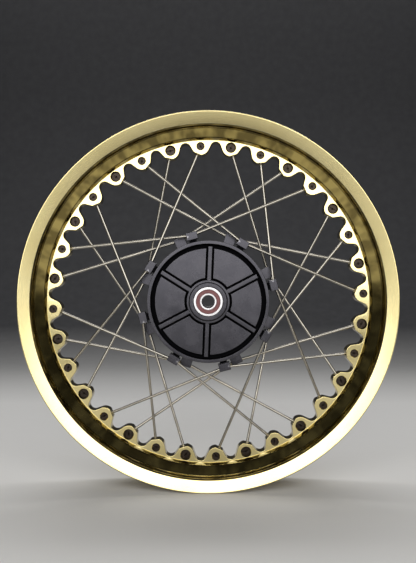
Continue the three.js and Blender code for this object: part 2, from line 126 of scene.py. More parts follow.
# Hub
HUB_HALF = 33
RING_RADIUS = 82.5
RING_WALL = 4.5
RING_LENGTH = 7
DRUM_RADIUS = 80
DRUM_INNER_RADIUS = 74.7
WEB_FRONT = -21
WEB_BACK = -15
PANEL_FACE = -30.5
PANEL_OUTER_RADIUS = 71.9
PANEL_GROOVE = 2.8
RIB_HALF = 2.65
RIB_COUNT = 6
FIRST_RIB = 2.3
BOSS_RADIUS = 29.3
BOSS_FACE_RADIUS = 25.3
BOSS_FACE = 36
BOSS_CHAMFER = 1
SEAT_RADIUS = 20.2
SEAT_DEPTH = 13.2
SEAT_SHOULDER = 2.5
REAR_RIB_WIDTH = 6
PANEL_ARC_STEPS = 24
FLANGE_INNER_RADIUS = 56
FLANGE_THICKNESS = 9
DISC_BOLT_CIRCLE = 68
DISC_BOLT_RADIUS = 3.4
BLOCK_PLANE = 15
BLOCK_OUTER_RADIUS = 97.2
FRONT_BLOCK_HEIGHT = 10.6
REAR_BLOCK_HEIGHT = 13.8
BLOCK_WIDTH = 15.8
BLOCK_LENGTH = 17
NECK_WIDTH = 10
NECK_LENGTH = 9
MACHINED_EDGE = 0.6

# Bearings
BEARING_HALF = 6
INNER_BORE = 8.5
INNER_SHOULDER = 12
INNER_END = 11
INNER_END_LENGTH = 1.8
OUTER_SHOULDER = 16.5
OUTER_RADIUS = 20
BALL_COUNT = 8
BALL_RADIUS = 3.3735
BALL_CIRCLE = 14.25
GROOVE_RADIUS = 3.47
CAGE_HALF_WIDTH = 1.1
CAGE_SHEET = 0.5
CAGE_CLEARANCE = 0.12
CAGE_HALF_SEAM = 0.06
CAGE_STEPS = 240
GROOVE_STEPS = 12
BEARING_MIDDLE = 29

# Finishes, painted shade and painted reflections in metres. A pair is where one begins and where it is
# complete.
LIP_FINISH_RADIUS = (0.2370, 0.2376)
LIP_FINISH_SIDE = (0.0400, 0.0410)
LUG_FINISH_RADIUS = (0.2225, 0.2221)
LUG_FINISH_SIDE = (0.0096, 0.0100)
# Out to here the rim's inside takes the darker tone of painted shade and painted reflection patches
BRIGHT_RADIUS = (0.2385, 0.2390)
# Where painted shade darkens the hub's front grooves and the necks of its spoke blocks
GROOVE_MOUTH = (-0.0300, -0.0285)
GROOVE_FLOOR = (-0.0150, -0.0160)
GROOVE_OUTSIDE = (0.0785, 0.0780)
NECK_FRONT = (-0.0258, -0.0250)
NECK_BACK = (0.0060, 0.0050)
NECK_TOP = (0.0868, 0.0864)
NECK_FOOT = (0.0790, 0.0795)
# Radius of the cylinder that the rim's painted reflection patches are laid on
BARREL_REFLECTION_PATCH_RADIUS = 0.23
FLOOR_FADE_BEHIND = (0.7, 1.9)
FLOOR_FADE_IN_FRONT = (-1.3, -2.2)

# Edge lightening, partly rubbed wear and partly painted highlight: how wide it runs along edges, in metres,
# and how far an edge turns the surface for it to show
RIM_EDGE_WEAR_AND_HIGHLIGHT = 0.0008
HUB_EDGE_WEAR_AND_HIGHLIGHT = 0.0007
EDGE_AGREEMENT = (0.99, 0.90)

# Studio, in metres
FLOOR_HALF = 7.0
WALL_PLACE = 2.6
WALL_HEIGHT = 5
WALL_BEND = 1.2
WALL_BEND_STEPS = 16
CAMERA_DISTANCE = 1.0
CAMERA_HEIGHT = 0.0272
CAMERA_ASIDE = -0.0003
CAMERA_SENSOR = 36
CAMERA_LENS = 48.1


def around(angle, radius, y):
    turn = math.radians(angle)
    return Vector((radius * math.sin(turn), y, radius * math.cos(turn)))


def turned_to(angle):
    """Turns what stands at 12 o'clock to the given angle."""
    return Matrix.Rotation(math.radians(angle), 4, "Y")


# Mesh building

def rounded(outline, steps=4):
    """An outline of (radius, y, fillet) corners as points, each corner with a fillet as an arc."""
    points = []
    count = len(outline)
    for index, (radius, y, fillet) in enumerate(outline):
        corner = Vector((radius, y))
        if not fillet:
            points.append(corner)
            continue
        before = Vector(outline[index - 1][:2]) - corner
        after = Vector(outline[(index + 1) % count][:2]) - corner
        half = before.angle(after) / 2
        reach = min(fillet / math.tan(half), before.length * 0.49, after.length * 0.49)
        size = reach * math.tan(half)
        centre = corner + (before.normalized() + after.normalized()).normalized() * size / math.sin(half)
        start = corner + before.normalized() * reach - centre
        end = corner + after.normalized() * reach - centre
        turn = start.angle_signed(end)
        for step in range(steps + 1):
            spoke = start.copy()
            spoke.rotate(Matrix.Rotation(-turn * step / steps, 2))
            points.append(centre + spoke)
    return points


def ring_of(bm, place, outline, previous, closed_outline=True):
    """One more copy of the outline through place(point), joined to the previous copy by a band of faces."""
    current = [bm.verts.new(place(point)) for point in outline]
    if previous:
        bridge(bm, previous, current, closed_outline)
    return current


def bridge(bm, previous, current, closed_outline=True):
    count = len(current)
    for index in range(count if closed_outline else count - 1):
        following = (index + 1) % count
        bm.faces.new((previous[index], previous[following], current[following], current[index]))


def revolve(outline, steps):
    """A closed outline of (radius, y) points turned round the axle."""
    bm = bmesh.new()
    first = None
    previous = None
    for step in range(steps):
        angle = 360 * step / steps
        previous = ring_of(bm, lambda point: around(angle, point[0], point[1]), outline, previous)
        first = first or previous
    bridge(bm, previous, first)
    bmesh.ops.recalc_face_normals(bm, faces=bm.faces)
    return bm


def round_bar(profile, steps=PIN_STEPS):
    """A bar along +Z from (radius, z) points, with flat ends."""
    bm = bmesh.new()
    previous = None
    first = None
    for radius, z in profile:
        circle = [(radius, 360 * step / steps, z) for step in range(steps)]
        previous = ring_of(
            bm,
            lambda p: (p[0] * math.cos(math.radians(p[1])), p[0] * math.sin(math.radians(p[1])), p[2]),
            circle,
            previous,
        )
        first = first or previous
    bm.faces.new(reversed(first))
    bm.faces.new(previous)
    bmesh.ops.recalc_face_normals(bm, faces=bm.faces)
    return bm


def soft_block(width, y_low, y_high, low, high, edge):
    """A block at 12 o'clock with its edges rounded over."""
    bm = bmesh.new()
    size = Matrix.Diagonal((width, y_high - y_low, high - low, 1))
    place = Matrix.Translation((0, (y_low + y_high) / 2, (low + high) / 2))
    bmesh.ops.create_cube(bm, size=1, matrix=place @ size)
    bmesh.ops.bevel(bm, geom=bm.edges[:], offset=edge, segments=3, profile=0.5, affect="EDGES")
    return bm


def plate(outline, y_low, y_high, edge):
    """A plate from (x, z) points with its rims rounded over."""
    count = len(outline)
    inwards = []
    for index, point in enumerate(outline):
        ahead = (Vector(outline[(index + 1) % count]) - Vector(point)).normalized()
        behind = (Vector(point) - Vector(outline[index - 1])).normalized()
        normals = [Vector((-ahead.y, ahead.x)), Vector((-behind.y, behind.x))]
        middle = (normals[0] + normals[1]).normalized()
        inwards.append(middle / max(0.3, middle.dot(normals[0])))
    area = sum(
        outline[i - 1][0] * outline[i][1] - outline[i][0] * outline[i - 1][1] for i in range(count)
    )
    sign = 1 if area > 0 else -1
    bm = bmesh.new()
    loops = []
    steps = 3
    turns = [math.pi / 2 * step / steps for step in range(steps + 1)]
    levels = [(1 - math.sin(t), y_low + edge * (1 - math.cos(t))) for t in turns]
    levels += [(1 - math.sin(t), y_high - edge * (1 - math.cos(t))) for t in reversed(turns)]
    previous = None
    for inset, y in levels:
        points = [Vector(p) + n * sign * edge * inset for p, n in zip(outline, inwards)]
        previous = ring_of(bm, lambda p: (p.x, y, p.y), points, previous)
        loops.append(previous)
    bm.faces.new(reversed(loops[0]))
    bm.faces.new(loops[-1])
    bmesh.ops.triangulate(bm, faces=[f for f in bm.faces if len(f.verts) > 4])
    bmesh.ops.recalc_face_normals(bm, faces=bm.faces)
    return bm


def moved(bm, matrix):
    bmesh.ops.transform(bm, matrix=matrix, verts=bm.verts)
    return bm


def gathered(parts):
    """Several meshes as one."""
    whole = bmesh.new()
    for part in parts:
        data = bpy.data.meshes.new("part")
        part.to_mesh(data)
        part.free()
        whole.from_mesh(data)
        bpy.data.meshes.remove(data)
    return whole


def copies(bm, angles):
    """Copies of what stands at 12 o'clock, at each angle."""
    parts = [moved(bm.copy(), turned_to(angle)) for angle in angles]
    bm.free()
    return gathered(parts)


def holder(bm):
    data = bpy.data.meshes.new("solid")
    bm.to_mesh(data)
    bm.free()
    thing = bpy.data.objects.new("solid", data)
    bpy.context.scene.collection.objects.link(thing)
    return thing


def discarded(thing):
    data = thing.data
    bpy.data.objects.remove(thing)
    bpy.data.meshes.remove(data)


def combined(base, tool, operation):
    """Joins ("UNION") or cuts ("DIFFERENCE") the tool, as a new mesh."""
    first = holder(base)
    second = holder(tool)
    change = first.modifiers.new("combine", "BOOLEAN")
    change.operation = operation
    change.solver = "MANIFOLD"
    change.object = second
    result = bmesh.new()
    result.from_object(first, bpy.context.evaluated_depsgraph_get())
    discarded(first)
    discarded(second)
    return result


def finished(name, bm):
    """Mesh data in metres, smooth between edges that turn less than SHARP_ANGLE, its flats kept flat."""
    bmesh.ops.remove_doubles(bm, verts=bm.verts, dist=0.002)
    bmesh.ops.dissolve_limit(bm, angle_limit=FLAT_ANGLE, verts=bm.verts, edges=bm.edges)
    bmesh.ops.scale(bm, vec=(MM, MM, MM), verts=bm.verts)
    for face in bm.faces:
        face.smooth = True
    for edge in bm.edges:
        edge.smooth = len(edge.link_faces) == 2 and edge.calc_face_angle(0) < SHARP_ANGLE
    rough = holder(bm)
    change = rough.modifiers.new("flats", "WEIGHTED_NORMAL")
    change.keep_sharp = True
    change.weight = 100
    change.thresh = 0.001
    evaluated = rough.evaluated_get(bpy.context.evaluated_depsgraph_get())
    data = bpy.data.meshes.new_from_object(evaluated)
    data.name = name
    discarded(rough)
    return data


def piece(name, data, material, body, nodes, place=None):
    """A visual piece that rides on a CAD body and stands for CAD nodes."""
    thing = bpy.data.objects.new(name, data)
    bpy.context.scene.collection.objects.link(thing)
    if not data.materials:
        data.materials.append(material)
    if place is not None:
        thing.matrix_world = place
    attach(thing, body)
    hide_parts(*nodes)
    return thing


# Materials

class Surface:
    """A material's node tree, with short ways to add nodes."""

    def __init__(self, name, colour, metallic, roughness):
        self.material = bpy.data.materials.new(name)
        self.material.use_nodes = True
        self.tree = self.material.node_tree
        self.shader = self.tree.nodes["Principled BSDF"]
        self.shader.inputs["Base Color"].default_value = (*colour, 1)
        self.shader.inputs["Metallic"].default_value = metallic
        self.shader.inputs["Roughness"].default_value = roughness
        coordinates = self.tree.nodes.new("ShaderNodeTexCoord")
        self.position = coordinates.outputs["Object"]

    def link(self, source, target):
        self.tree.links.new(source, target)

    def give(self, socket, value):
        self.link(value, self.shader.inputs[socket])

    def put(self, value, target):
        if isinstance(value, (int, float)):
            target.default_value = value
        else:
            self.link(value, target)

    def maths(self, operation, first, second=0.0):
        node = self.tree.nodes.new("ShaderNodeMath")
        node.operation = operation
        self.put(first, node.inputs[0])
        self.put(second, node.inputs[1])
        return node.outputs[0]

    def axes(self):
        node = self.tree.nodes.new("ShaderNodeSeparateXYZ")
        self.link(self.position, node.inputs[0])
        return node.outputs[0], node.outputs[1], node.outputs[2]

    def joined_axes(self, x, y, z):
        node = self.tree.nodes.new("ShaderNodeCombineXYZ")
        for value, target in zip((x, y, z), node.inputs):
            self.put(value, target)
        return node.outputs[0]

    def round_axes(self):
        """Distance from the axle, angle round it, and place along it."""
        x, y, z = self.axes()
        square = self.maths("ADD", self.product(x, x), self.product(z, z))
        return self.maths("SQRT", square), self.maths("ARCTAN2", x, z), y

    def noise(self, vector, scale, detail=2.0, rough=0.5):
        node = self.tree.nodes.new("ShaderNodeTexNoise")
        node.inputs["Scale"].default_value = scale
        node.inputs["Detail"].default_value = detail
        node.inputs["Roughness"].default_value = rough
        self.link(vector, node.inputs["Vector"])
        return node.outputs["Fac"]

    def ranged(self, value, low, high, to_low, to_high):
        node = self.tree.nodes.new("ShaderNodeMapRange")
        self.link(value, node.inputs["Value"])
        for key, number in zip(("From Min", "From Max", "To Min", "To Max"), (low, high, to_low, to_high)):
            node.inputs[key].default_value = number
        return node.outputs[0]

    def fade(self, value, limits):
        """0 up to the first limit, 1 from the second."""
        return self.ranged(value, *limits, 0, 1)

    def product(self, *factors):
        result = factors[0]
        for factor in factors[1:]:
            result = self.maths("MULTIPLY", result, factor)
        return result

    def mixed(self, factor, first, second):
        """A colour from first to second by factor."""
        node = self.tree.nodes.new("ShaderNodeMix")
        node.data_type = "RGBA"
        self.put(factor, node.inputs["Factor"])
        for colour, target in ((first, node.inputs["A"]), (second, node.inputs["B"])):
            if isinstance(colour, tuple):
                target.default_value = (*colour, 1)
            else:
                self.link(colour, target)
        return node.outputs["Result"]

    def edge_wear_and_highlight(self, width):
        """0 on flats and 1 where the surface turns an edge, over the given width in metres."""
        softened = self.tree.nodes.new("ShaderNodeBevel")
        softened.samples = 4
        softened.inputs["Radius"].default_value = width
        geometry = self.tree.nodes.new("ShaderNodeNewGeometry")
        agreement = self.tree.nodes.new("ShaderNodeVectorMath")
        agreement.operation = "DOT_PRODUCT"
        self.link(softened.outputs[0], agreement.inputs[0])
        self.link(geometry.outputs["Normal"], agreement.inputs[1])
        return self.fade(agreement.outputs["Value"], EDGE_AGREEMENT)

    def bump(self, height, distance):
        node = self.tree.nodes.new("ShaderNodeBump")
        node.inputs["Distance"].default_value = distance
        node.inputs["Strength"].default_value = 1.0
        self.link(height, node.inputs["Height"])
        self.link(node.outputs[0], self.shader.inputs["Normal"])


def gold_anodised():
    """Gold anodised aluminium: brushed lips, a polished barrel, and lugs faced by a milling cutter; the
    inside of the rim is darkened with painted shade and painted reflection patches, and the edges carry a
    painted highlight with some rubbed wear.
    """
    s = Surface("gold_anodised", (0.74, 0.62, 0.30), 1.0, 0.2)
    radius, angle, along = s.round_axes()
    side = s.maths("ABSOLUTE", along)
    lip = s.product(s.fade(radius, LIP_FINISH_RADIUS), s.fade(side, LIP_FINISH_SIDE))
    lug = s.product(s.fade(radius, LUG_FINISH_RADIUS), s.fade(side, LUG_FINISH_SIDE))
    brush = s.noise(s.joined_axes(s.product(radius, 60), s.product(angle, 0.5), s.product(along, 60)),
                    60, 3.0)
    cloud = s.noise(s.position, 18, 3.0)
    fine = s.noise(s.position, 900, 2.0)
    plain = s.ranged(cloud, 0.3, 0.7, 0.10, 0.17)
    brushed = s.ranged(brush, 0.3, 0.7, 0.09, 0.13)
    milled = s.ranged(brush, 0.3, 0.7, 0.12, 0.17)
    mask = s.maths("MAXIMUM", lip, lug)
    faced = s.maths("ADD", s.product(brushed, lip), s.product(milled, lug))
    s.give("Roughness", s.maths("ADD", s.product(plain, s.maths("SUBTRACT", 1.0, mask)), faced))
    # Painted reflections: light and dark patches round the inside of the rim
    painted_reflection_patches = s.noise(
        s.joined_axes(s.product(s.maths("SINE", angle), BARREL_REFLECTION_PATCH_RADIUS), along,
                      s.product(s.maths("COSINE", angle), BARREL_REFLECTION_PATCH_RADIUS)),
        45, 2.0, 0.55,
    )
    # Painted shade: the inside of the rim, away from the lips and lugs, takes the darker patched tone
    inside = s.maths("SUBTRACT", 1.0, s.maths("MAXIMUM", mask, s.fade(radius, BRIGHT_RADIUS)))
    bright = s.mixed(s.fade(cloud, (0.25, 0.75)), (0.72, 0.60, 0.28), (0.77, 0.66, 0.34))
    painted_shade_and_reflections = s.mixed(s.fade(painted_reflection_patches, (0.42, 0.60)), (0.24, 0.185, 0.065), (0.60, 0.47, 0.16))
    tone = s.mixed(inside, bright, painted_shade_and_reflections)
    # Painted highlight, partly rubbed wear: edges lighten towards pale gold
    s.give("Base Color", s.mixed(s.product(s.edge_wear_and_highlight(RIM_EDGE_WEAR_AND_HIGHLIGHT), 0.5), tone, (0.93, 0.84, 0.56)))
    s.bump(s.maths("ADD", s.product(brush, mask), s.product(fine, 0.25)), 0.000010)
    return s.material


def black_anodised():
    """Satin black anodised aluminium, turned, with a painted highlight and some rubbed wear along its edges,
    and its front grooves and the necks of its spoke blocks darkened with painted shade and made duller.
    """
    s = Surface("black_anodised", (0.052, 0.050, 0.057), 1.0, 0.27)
    radius, angle, along = s.round_axes()
    cloud = s.noise(s.position, 40, 4.0, 0.6)
    fine = s.noise(s.position, 1600, 2.0)
    turning = s.noise(s.joined_axes(s.product(radius, 60), s.product(angle, 0.3), s.product(along, 60)),
                      40, 2.0)
    # Painted shade: the front grooves and the necks of the spoke blocks go nearly black and duller
    face_groove_shade = s.product(s.fade(along, GROOVE_MOUTH), s.fade(along, GROOVE_FLOOR),
                            s.fade(radius, GROOVE_OUTSIDE))
    neck = s.product(s.fade(along, NECK_FRONT), s.fade(along, NECK_BACK), s.fade(radius, NECK_TOP),
                     s.fade(radius, NECK_FOOT))
    groove = s.maths("MAXIMUM", face_groove_shade, neck)
    satin = s.ranged(cloud, 0.25, 0.75, 0.22, 0.32)
    s.give("Roughness", s.maths("MAXIMUM", satin, s.product(groove, 0.7)))
    tone = s.mixed(s.fade(cloud, (0.3, 0.7)), (0.043, 0.042, 0.048), (0.062, 0.060, 0.067))
    # Painted highlight, partly rubbed wear: edges lighten towards grey
    edged = s.mixed(s.product(s.edge_wear_and_highlight(HUB_EDGE_WEAR_AND_HIGHLIGHT), 0.5), tone, (0.34, 0.33, 0.35))
    # Painted shade applied: the grooves and necks are mixed to near black
    s.give("Base Color", s.mixed(groove, edged, (0.006, 0.006, 0.007)))
    s.bump(s.maths("ADD", fine, s.product(turning, 0.8)), 0.00002)
    return s.material


def drawn_steel():
    """Stainless spoke wire with lines from drawing along its length."""
    s = Surface("drawn_steel", (0.44, 0.41, 0.35), 1.0, 0.25)
    x, y, z = s.axes()
    lines = s.noise(s.joined_axes(s.product(x, 50), s.product(y, 50), z), 60, 3.0)
    cloud = s.noise(s.position, 30, 2.0)
    s.give("Roughness", s.ranged(lines, 0.3, 0.7, 0.18, 0.34))
    s.give("Base Color", s.mixed(s.fade(cloud, (0.3, 0.7)), (0.30, 0.28, 0.24), (0.42, 0.39, 0.335)))
    s.bump(lines, 0.00002)
    return s.material


def nipple_steel():
    """Dark oiled steel with rings from facing its ends."""
    s = Surface("nipple_steel", (0.035, 0.028, 0.022), 1.0, 0.35)
    x, y, z = s.axes()
    square = s.maths("ADD", s.product(x, x), s.product(y, y))
    rings = s.noise(s.joined_axes(s.product(s.maths("SQRT", square), 100), 0.0, z), 50, 1.0)
    cloud = s.noise(s.position, 300, 3.0)
    s.give("Roughness", s.ranged(cloud, 0.3, 0.7, 0.28, 0.45))
    s.give("Base Color",
           s.mixed(s.fade(cloud, (0.35, 0.65)), (0.020, 0.015, 0.012), (0.050, 0.040, 0.032)))
    s.bump(rings, 0.00003)
    return s.material


def ground_steel():
    """Bearing steel ground round the axle."""
    s = Surface("ground_steel", (0.58, 0.57, 0.57), 1.0, 0.3)
    radius, angle, along = s.round_axes()
    rings = s.noise(s.joined_axes(s.product(radius, 200), angle, s.product(along, 200)), 40, 3.0)
    cloud = s.noise(s.position, 120, 2.0)
    s.give("Roughness", s.ranged(rings, 0.3, 0.7, 0.25, 0.36))
    s.give("Base Color", s.mixed(s.fade(cloud, (0.3, 0.7)), (0.54, 0.53, 0.53), (0.64, 0.63, 0.63)))
    s.bump(rings, 0.00001)
    return s.material


def seal_rubber():
    """Matte reddish brown rubber with a faint moulded grain."""
    s = Surface("seal_rubber", (0.17, 0.055, 0.055), 0.0, 0.55)
    grain = s.noise(s.position, 1500, 3.0)
    cloud = s.noise(s.position, 150, 3.0)
    s.give("Roughness", s.ranged(grain, 0.3, 0.7, 0.45, 0.62))
    s.give("Base Color", s.mixed(s.fade(cloud, (0.3, 0.7)), (0.15, 0.048, 0.048), (0.20, 0.068, 0.066)))
    s.bump(grain, 0.00004)
    return s.material


def plain_aluminium():
    """Bare turned aluminium tube."""
    s = Surface("plain_aluminium", (0.62, 0.63, 0.65), 1.0, 0.3)
    radius, angle, along = s.round_axes()
    rings = s.noise(s.joined_axes(radius, angle, s.product(along, 100)), 30, 3.0)
    s.give("Roughness", s.ranged(rings, 0.3, 0.7, 0.25, 0.42))
    s.give("Base Color", s.mixed(s.fade(rings, (0.3, 0.7)), (0.56, 0.57, 0.59), (0.68, 0.69, 0.70)))
    s.bump(rings, 0.00003)
    return s.material


def floor_paint():
    """Plain pale matte paper that deepens to dark grey away from the wheel."""
    s = Surface("floor_paint", (0.74, 0.73, 0.71), 0.0, 0.8)
    grain = s.noise(s.position, 30, 3.0)
    along = s.axes()[1]
    away = s.maths("MAXIMUM", s.fade(along, FLOOR_FADE_BEHIND), s.fade(along, FLOOR_FADE_IN_FRONT))
    s.give("Base Color", s.mixed(away, (0.74, 0.73, 0.71), (0.04, 0.04, 0.043)))
    s.give("Roughness", s.ranged(grain, 0.3, 0.7, 0.75, 0.9))
    return s.material


# What the CAD says about each spoke

def distinct(points):
    """The points without repeats, in a fixed order."""
    kept = {tuple(round(value, 2) for value in point): point for point in points}
    return [kept[key] for key in sorted(kept)]


class Spoke:
    """A spoke's line, read from its CAD node: its nipple's middle, its lug's angle and its head."""

    def __init__(self, name):
        points = distinct([vertex.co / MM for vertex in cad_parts[name].data.vertices])
        far = max(math.hypot(p.x, p.z) for p in points)
        barrel = [p for p in points if math.hypot(p.x, p.z) > far - 2 * NIPPLE_RADIUS - 1]
        ends = [min(p.y for p in barrel), max(p.y for p in barrel)]
        end_ring = [p for p in barrel if p.y < ends[0] + 0.05]
        middle = sum(end_ring, Vector()) / len(end_ring)
        self.name = name
        self.angle = math.degrees(math.atan2(middle.x, middle.z))
        self.nipple = around(self.angle, LUG_HOLE_RADIUS, sum(ends) / 2)
        by_reach = sorted(points, key=lambda p: (p - self.nipple).length)
        self.head_face = sum(by_reach[-SPOKE_FACETS_IN_CAD:], Vector()) / SPOKE_FACETS_IN_CAD
        corner = math.hypot(HEAD_LENGTH, HEAD_RADIUS)
        seat_ring = [p for p in points if abs((p - self.head_face).length - corner) < 0.1]
        head_seat = sum(seat_ring, Vector()) / len(seat_ring)
        self.direction = (self.head_face - head_seat).normalized()
        self.reach = (self.head_face - self.nipple).dot(self.direction)
        self.start = self.head_face - self.direction * self.reach
        self.side = 1 if "rear" in name else -1
        self.lean = 1 if "leading" in name else -1

    def line(self):
        """A frame at the nipple whose +Z runs along the spoke."""
        turn = self.direction.to_track_quat("Z", "Y").to_matrix().to_4x4()
        return Matrix.Translation(self.start) @ turn

    def exit_angle(self):
        """Between straight in to the axle and the spoke, seen along the axle."""
        upright = turned_to(-self.angle).to_3x3() @ self.direction
        return math.atan2(upright.x, -upright.z)


def metres(matrix):
    """The matrix with its translation from millimetres to metres."""
    scaled = matrix.copy()
    scaled.translation = matrix.translation * MM
    return scaled


# Rim

def rim_section():
    """The rim's closed section: tyre side from the well outwards on one side, then the hub side."""
    seat_end = LIP_INSIDE - BEAD_SEAT_WIDTH
    half = [
        (WELL_RADIUS, WELL_HALF_WIDTH - 1, 5),
        (BEAD_SEAT_RADIUS - 3.6, seat_end - 2.0, 3),
        (BEAD_SEAT_RADIUS - BEAD_SEAT_TAPER + HUMP_HEIGHT, seat_end + 1.2, 1.5),
        (BEAD_SEAT_RADIUS - 1.1, seat_end + 3.5, 2),
        (BEAD_SEAT_RADIUS, LIP_INSIDE, 1.6),
        (LIP_RADIUS - LIP_THICKNESS, LIP_INSIDE, 2.2),
        (LIP_RADIUS, LIP_SIDE - 3.2, 1.6),
        (LIP_RADIUS, LIP_SIDE, 1.6),
        (LIP_RADIUS - LIP_FACE, LIP_SIDE - LIP_SLOPE, 0.5),
        (LIP_RADIUS - LIP_FACE - LIP_ROOT_STEP, LIP_INSIDE, 2),
        (BEAD_SEAT_RADIUS - BEAD_SEAT_TAPER - RIM_WALL, seat_end + WALL_BEND_WIDTH, 5),
        (BARREL_RADIUS + WALL_FOOT_RISE, WELL_HALF_WIDTH + WALL_FOOT_WIDTH, 6),
        (BARREL_RADIUS, LUG_HALF_THICKNESS + 0.6, 1.5),
    ]
    mirrored = [(radius, -y, fillet) for radius, y, fillet in reversed(half)]
    return rounded(half + mirrored, 5)


def lug_outline(spokes):
    """The lug ring's inner edge as (radius, angle) points, one lug after another."""
    half = math.radians(180 / len(spokes))
    scallop = Vector((math.sin(half), math.cos(half))) * SCALLOP_CENTRE
    towards = math.atan2(scallop.x, LUG_HOLE_RADIUS - scallop.y)
    apart = math.hypot(scallop.x, LUG_HOLE_RADIUS - scallop.y)
    tip_end = towards - math.acos(min(1, (LUG_TIP_RADIUS + SCALLOP_RADIUS) / apart))
    flat_half = math.acos(1 - LUG_FLAT_INSET / LUG_TIP_RADIUS)
    outline = []
    for spoke in spokes:
        flat = spoke.exit_angle()
        turns = [tip_end * (2 * step / TIP_STEPS - 1) for step in range(TIP_STEPS + 1)]
        turns = [t for t in turns if abs(t - flat) > flat_half * 1.02]
        turns = sorted(turns + [flat - flat_half, flat, flat + flat_half])
        points = []
        for turn in turns:
            inset = LUG_TIP_RADIUS
            if turn == flat:
                inset = LUG_TIP_RADIUS - LUG_FLAT_INSET
            points.append(Vector((inset * math.sin(turn), LUG_HOLE_RADIUS - inset * math.cos(turn))))
        for step in range(SCALLOP_STEPS + 1):
            turn = -tip_end + (2 * half + 2 * tip_end) * step / SCALLOP_STEPS
            points.append(scallop + Vector((math.sin(turn), math.cos(turn))) * SCALLOP_RADIUS)
        for point in points:
            outline.append((point.length, spoke.angle + math.degrees(math.atan2(point.x, point.y))))
    return outline


def lug_ring(spokes):
    """The ring that the lugs stand on, its inner edge softened."""
    outline = lug_outline(spokes)
    count = len(outline)
    flat = [Vector((r * math.sin(math.radians(a)), r * math.cos(math.radians(a)))) for r, a in outline]
    inwards = []
    for index in range(count):
        along = (flat[(index + 1) % count] - flat[index - 1]).normalized()
        inwards.append(Vector((-along.y, along.x)))
    outer = [around(a, BARREL_RADIUS + 2, 0) for _, a in outline]
    sign = 1 if inwards[0].dot(flat[0]) > 0 else -1
    bm = bmesh.new()
    steps = 3
    turns = [math.pi / 2 * step / steps for step in range(steps + 1)]
    levels = [(1 - math.sin(t), -LUG_HALF_THICKNESS + LUG_EDGE * (1 - math.cos(t))) for t in turns]
    levels += [(inset, -y) for inset, y in reversed(levels)]
    first = ring_of(bm, lambda p: (p.x, -LUG_HALF_THICKNESS, p.z), outer, None)
    previous = first
    for inset, y in levels:
        points = [p + n * sign * LUG_EDGE * inset for p, n in zip(flat, inwards)]
        previous = ring_of(bm, lambda p: (p.x, y, p.y), points, previous)
    last = ring_of(bm, lambda p: (p.x, LUG_HALF_THICKNESS, p.z), outer, previous)
    bridge(bm, last, first)
    bmesh.ops.recalc_face_normals(bm, faces=bm.faces)
    return bm


def upright_bar(profile):
    """A bar along the axle at a lug's hole, from (radius, y) points."""
    lay = Matrix.Translation((0, 0, LUG_HOLE_RADIUS)) @ Matrix.Rotation(-math.pi / 2, 4, "X")
    return moved(round_bar(profile, 40), lay)


def lug_bore(side):
    """What is bored out of a lug at 12 o'clock: wide through one face, narrow on its spoke's side."""
    face = LUG_HALF_THICKNESS
    shoulder = face - ACCESS_DEPTH
    profile = [
        (BORE_RADIUS + BORE_EDGE + 1, -face - 1),
        (BORE_RADIUS, -face + BORE_EDGE),
        (BORE_RADIUS, shoulder - 0.3),
        (BORE_RADIUS - 0.3, shoulder),
        (ACCESS_RADIUS, shoulder),
        (ACCESS_RADIUS, face - BORE_EDGE),
        (ACCESS_RADIUS + BORE_EDGE + 1, face + 1),
    ]
    if side < 0:
        profile = [(radius, -y) for radius, y in reversed(profile)]
    return upright_bar(profile)


def rim(spokes, material):
    bm = combined(revolve(rim_section(), RIM_STEPS), lug_ring(spokes), "UNION")
    bores = gathered([moved(lug_bore(spoke.side), turned_to(spoke.angle)) for spoke in spokes])
    bm = combined(bm, bores, "DIFFERENCE")
    reach = LUG_TIP_RADIUS - LUG_FLAT_INSET
    hole = [(SPOKE_HOLE_RADIUS, 2), (SPOKE_HOLE_RADIUS, reach - 0.4), (SPOKE_HOLE_RADIUS + 1.4, reach + 1)]
    holes = gathered([moved(round_bar(hole), spoke.line()) for spoke in spokes])
    bm = combined(bm, holes, "DIFFERENCE")
    valve = [(VALVE_RADIUS, -8), (VALVE_RADIUS, 20)]
    place = Matrix.Translation((0, VALVE_OFFSET, BARREL_RADIUS))
    bm = combined(bm, moved(round_bar(valve), turned_to(VALVE_ANGLE) @ place), "DIFFERENCE")
    piece("rim_shell", finished("rim_shell", bm), material, "wheel", ["rim"])


# Spokes

def spoke_wire(reach):
    """A spoke along +Z from inside its nipple to its head."""
    seat = reach - HEAD_LENGTH
    profile = [
        (SPOKE_RADIUS - 0.4, 1.0),
        (SPOKE_RADIUS, 1.4),
        (SPOKE_RADIUS, 12),
        (SPOKE_RADIUS, 20),
        (SPOKE_RADIUS - SPOKE_WAIST, 24),
        (SPOKE_RADIUS - SPOKE_WAIST, reach * 0.5),
        (SPOKE_RADIUS - SPOKE_WAIST, seat - 24),
        (SPOKE_RADIUS, seat - 18),
        (SPOKE_RADIUS, seat - 0.5),
        (SPOKE_RADIUS + 0.4, seat - 0.05),
        (HEAD_RADIUS - 0.5, seat + 0.1),
        (HEAD_RADIUS, seat + 0.6),
        (HEAD_RADIUS, reach - 1.0),
        (HEAD_RADIUS - 0.35, reach - 0.45),
        (HEAD_RADIUS - 1.1, reach - 0.15),
        (HEAD_RADIUS - 2.2, reach),
    ]
    return round_bar(profile, 20)


